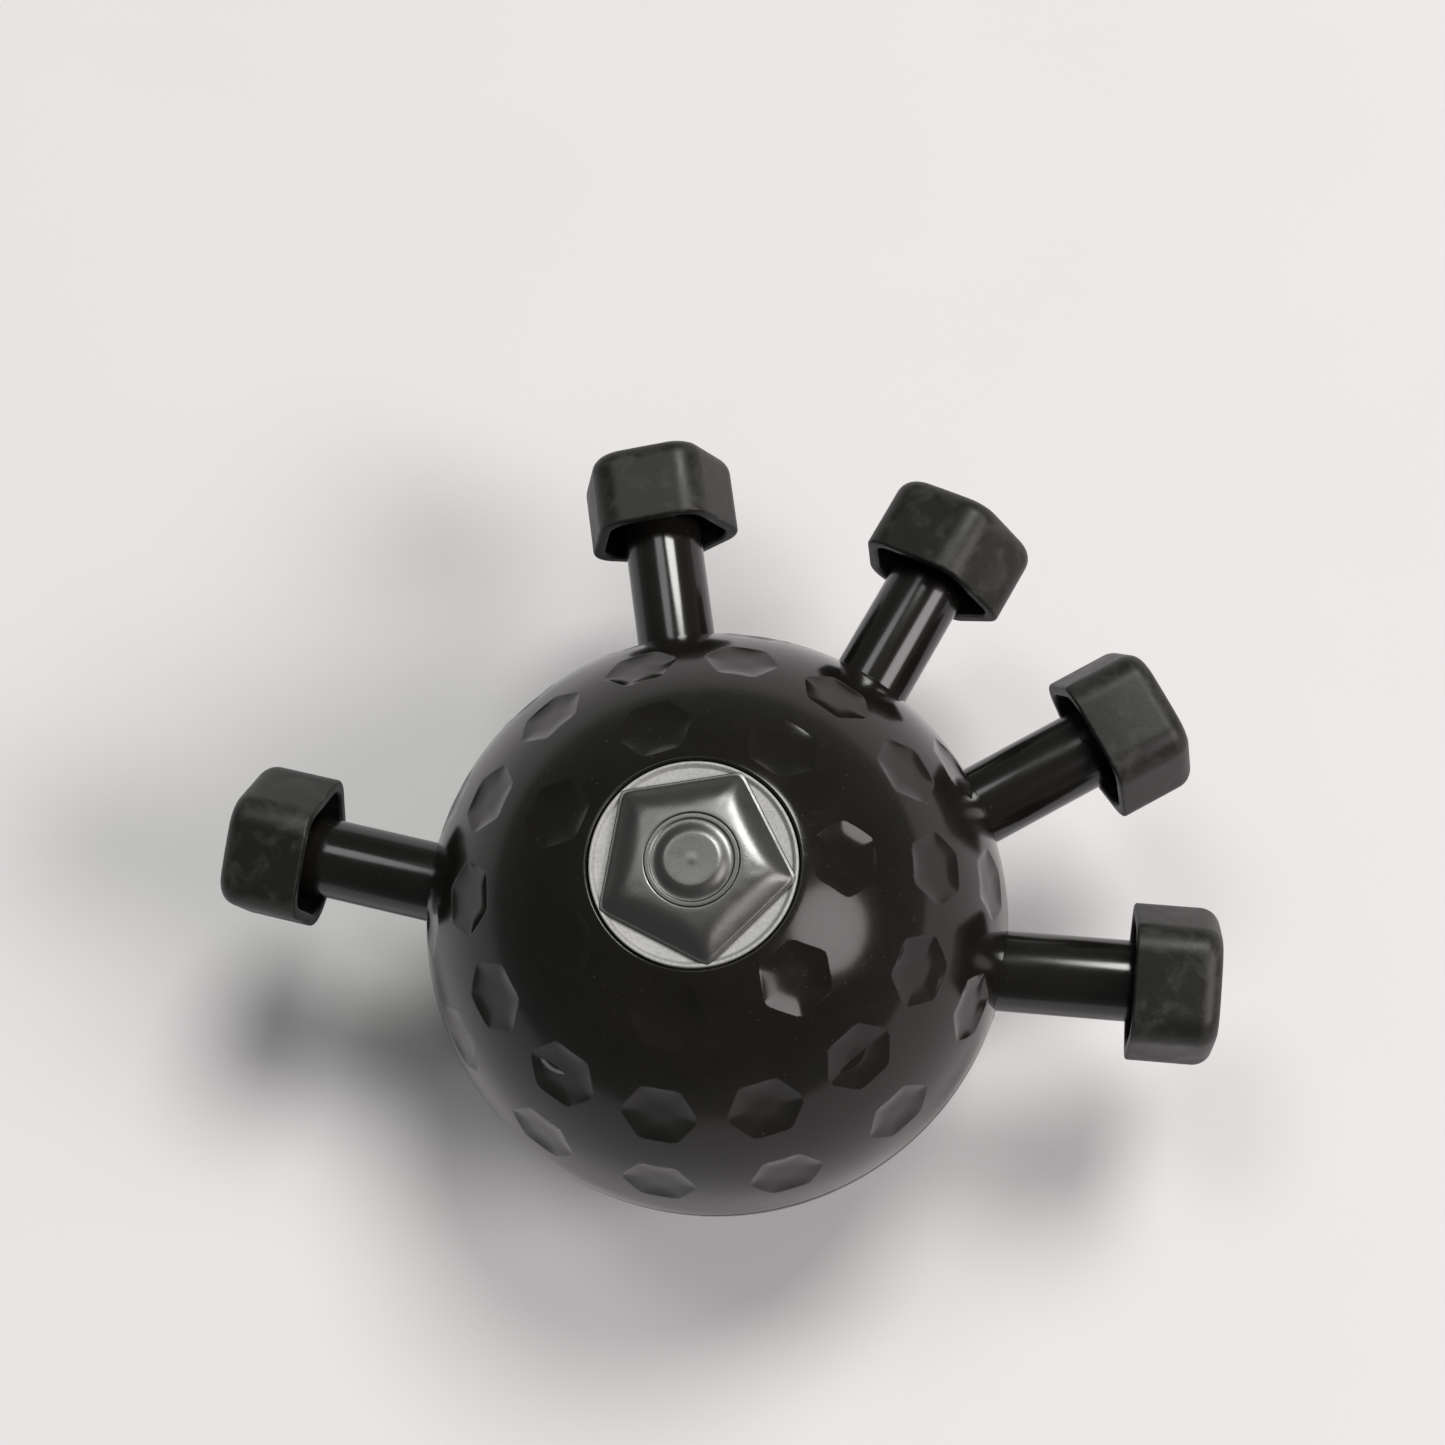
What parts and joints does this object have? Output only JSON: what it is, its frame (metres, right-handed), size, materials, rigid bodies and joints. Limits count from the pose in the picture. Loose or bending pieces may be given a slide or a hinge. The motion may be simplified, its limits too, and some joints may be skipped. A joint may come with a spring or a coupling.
{
  "type": "finger exerciser",
  "caption": "Palm-sized ball with spring-loaded finger plungers fanned around one side, each pressed by its own fingertip to train the hand.",
  "frame": {"origin": "centre of the rear pad's flat face, on the ball's axis through its two hubs", "axes": "+Z along the ball's axis to the front hub; plungers in a plane parallel to XY, index and middle fingers towards +Y, little finger towards +X, thumb towards -X"},
  "size_m": [0.1118, 0.0885, 0.0635],
  "materials": {
    "shell_black": "glossy moulded black plastic",
    "stem_black": "glossy black plastic, polished by sliding",
    "cap_black": "satin black plastic",
    "hub_grey": "light grey matte fine texture",
    "pentagon_grey": "mid grey satin",
    "pad_grey": "grey elastomer",
    "nylon": "natural nylon",
    "steel": "bright steel",
    "brass": "machined brass"
  },
  "bodies": {
    "ball": {"front_shell": "shell_black", "rear_shell": "shell_black", "hub_disc": "hub_grey", "pentagon_cap": "pentagon_grey", "centre_plug": "pentagon_grey", "rear_pad": "pad_grey", "central_screw": "steel", "threaded_insert": "brass", "spring_core": "nylon", "thumb_guide_pin": "steel", "thumb_spring": "steel", "index_guide_pin": "steel", "index_spring": "steel", "middle_guide_pin": "steel", "middle_spring": "steel", "ring_guide_pin": "steel", "ring_spring": "steel", "little_guide_pin": "steel", "little_spring": "steel"},
    "thumb_plunger": {"thumb_stem": "stem_black", "thumb_cap": "cap_black", "thumb_retaining_ring": "steel"},
    "index_plunger": {"index_stem": "stem_black", "index_cap": "cap_black", "index_retaining_ring": "steel"},
    "middle_plunger": {"middle_stem": "stem_black", "middle_cap": "cap_black", "middle_retaining_ring": "steel"},
    "ring_plunger": {"ring_stem": "stem_black", "ring_cap": "cap_black", "ring_retaining_ring": "steel"},
    "little_plunger": {"little_stem": "stem_black", "little_cap": "cap_black", "little_retaining_ring": "steel"}
  },
  "joints": [
    {"name": "thumb_press", "type": "slide", "parent": "ball", "child": "thumb_plunger", "axis": [-0.9703, 0.2419, 0], "range_m": [-0.01, 0], "stiffness_N_per_m": 940, "springref_m": 0.004, "deforming": ["thumb_spring"]},
    {"name": "index_press", "type": "slide", "parent": "ball", "child": "index_plunger", "axis": [-0.1305, 0.9914, 0], "range_m": [-0.01, 0], "stiffness_N_per_m": 940, "springref_m": 0.004, "deforming": ["index_spring"]},
    {"name": "middle_press", "type": "slide", "parent": "ball", "child": "middle_plunger", "axis": [0.5, 0.866, 0], "range_m": [-0.01, 0], "stiffness_N_per_m": 940, "springref_m": 0.004, "deforming": ["middle_spring"]},
    {"name": "ring_press", "type": "slide", "parent": "ball", "child": "ring_plunger", "axis": [0.8829, 0.4695, 0], "range_m": [-0.01, 0], "stiffness_N_per_m": 940, "springref_m": 0.004, "deforming": ["ring_spring"]},
    {"name": "little_press", "type": "slide", "parent": "ball", "child": "little_plunger", "axis": [0.9954, -0.0958, 0], "range_m": [-0.01, 0], "stiffness_N_per_m": 940, "springref_m": 0.004, "deforming": ["little_spring"]}
  ]
}
